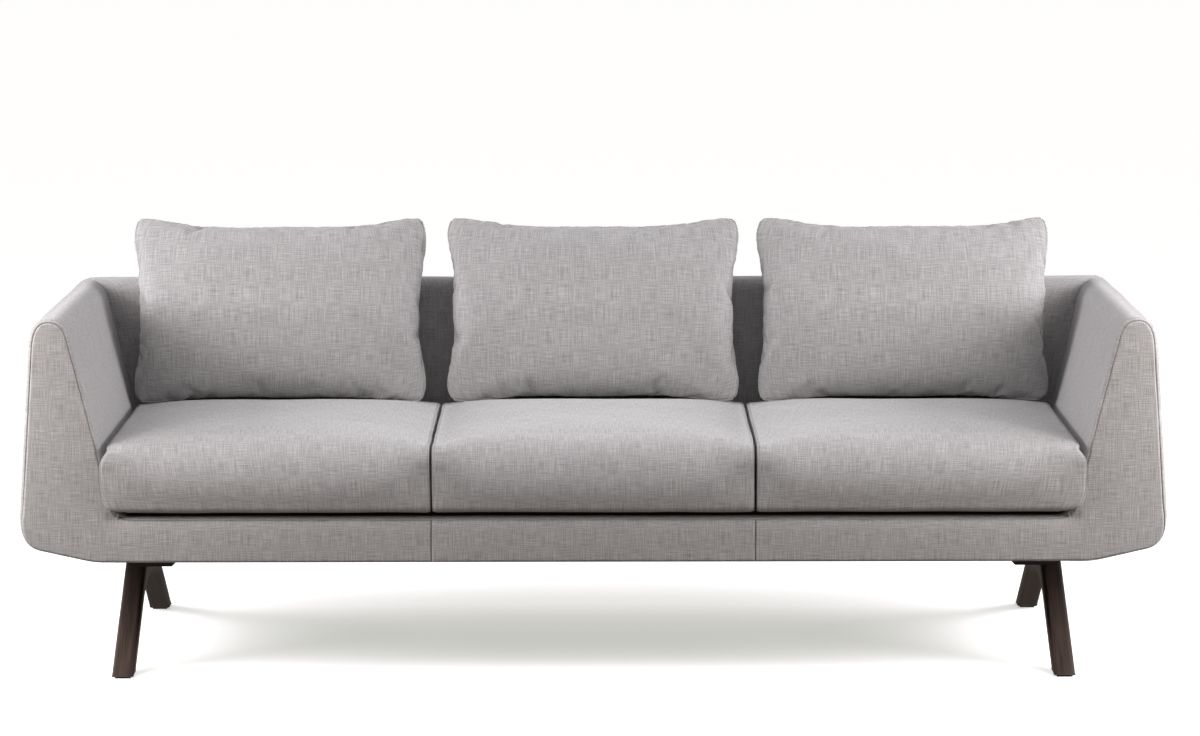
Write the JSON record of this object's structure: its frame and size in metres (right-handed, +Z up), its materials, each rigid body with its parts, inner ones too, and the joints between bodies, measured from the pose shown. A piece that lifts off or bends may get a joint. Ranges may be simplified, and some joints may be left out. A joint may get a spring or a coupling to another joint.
{
  "type": "three-seat sofa",
  "caption": "Low upholstered sofa with level arms and back, loose seat cushions and back pillows, raised on dark wooden A-frame legs.",
  "frame": {"origin": "on the floor, under the middle of the sofa's width and depth", "axes": "+Z up, -Y towards the front where people sit down, +X to the right of someone facing the sofa"},
  "size_m": [2.224, 0.8802, 0.8345],
  "materials": {
    "shell_fabric": "matte",
    "cushion_fabric": "matte",
    "deck_cloth": "matte",
    "lining": "matte",
    "webbing": "matte",
    "frame_timber": "matte",
    "dark_wood": "satin",
    "bolt_steel": "satin",
    "glide_felt": "matte"
  },
  "bodies": {
    "shell": {"arm_cover_left": "shell_fabric", "arm_cover_right": "shell_fabric", "back_cover": "shell_fabric", "front_rail_cover": "shell_fabric", "facing_centre": "shell_fabric", "facing_left": "shell_fabric", "facing_right": "shell_fabric", "deck_pad": "deck_cloth", "dust_cover": "lining", "seat_webbing": "webbing", "front_beam": "frame_timber", "rear_beam": "frame_timber", "back_top_rail": "frame_timber", "side_rail_left": "frame_timber", "side_rail_right": "frame_timber", "stretcher_left": "frame_timber", "stretcher_right": "frame_timber", "mounting_batten_left": "frame_timber", "mounting_batten_right": "frame_timber", "corner_block_front_left": "frame_timber", "corner_block_front_right": "frame_timber", "corner_block_rear_left": "frame_timber", "corner_block_rear_right": "frame_timber", "arm_front_post_left": "frame_timber", "arm_front_post_right": "frame_timber", "arm_rear_post_left": "frame_timber", "arm_rear_post_right": "frame_timber", "arm_top_rail_left": "frame_timber", "arm_top_rail_right": "frame_timber", "back_post_left": "frame_timber", "back_post_right": "frame_timber", "leg_frame_left": "dark_wood", "leg_frame_right": "dark_wood", "leg_rail_left": "dark_wood", "leg_rail_right": "dark_wood", "leg_bolt_1_left": "bolt_steel", "leg_bolt_1_right": "bolt_steel", "leg_bolt_2_left": "bolt_steel", "leg_bolt_2_right": "bolt_steel", "leg_bolt_3_left": "bolt_steel", "leg_bolt_3_right": "bolt_steel", "leg_bolt_4_left": "bolt_steel", "leg_bolt_4_right": "bolt_steel", "glide_front_left": "glide_felt", "glide_front_right": "glide_felt", "glide_rear_left": "glide_felt", "glide_rear_right": "glide_felt"},
    "seat_left": {"seat_cushion_left": "cushion_fabric"},
    "seat_centre": {"seat_cushion_centre": "cushion_fabric"},
    "seat_right": {"seat_cushion_right": "cushion_fabric"},
    "pillow_left": {"back_pillow_left": "cushion_fabric"},
    "pillow_centre": {"back_pillow_centre": "cushion_fabric"},
    "pillow_right": {"back_pillow_right": "cushion_fabric"}
  },
  "joints": [
    {"name": "seat_left_pull", "type": "slide", "parent": "shell", "child": "seat_left", "axis": [0, -1, 0], "range_m": [0, 0.74]},
    {"name": "seat_centre_pull", "type": "slide", "parent": "shell", "child": "seat_centre", "axis": [0, -1, 0], "range_m": [0, 0.74]},
    {"name": "seat_right_pull", "type": "slide", "parent": "shell", "child": "seat_right", "axis": [0, -1, 0], "range_m": [0, 0.74]},
    {"name": "pillow_left_lift", "type": "slide", "parent": "shell", "child": "pillow_left", "axis": [0, 0, 1], "range_m": [0, 0.4]},
    {"name": "pillow_centre_lift", "type": "slide", "parent": "shell", "child": "pillow_centre", "axis": [0, 0, 1], "range_m": [0, 0.4]},
    {"name": "pillow_right_lift", "type": "slide", "parent": "shell", "child": "pillow_right", "axis": [0, 0, 1], "range_m": [0, 0.4]}
  ]
}
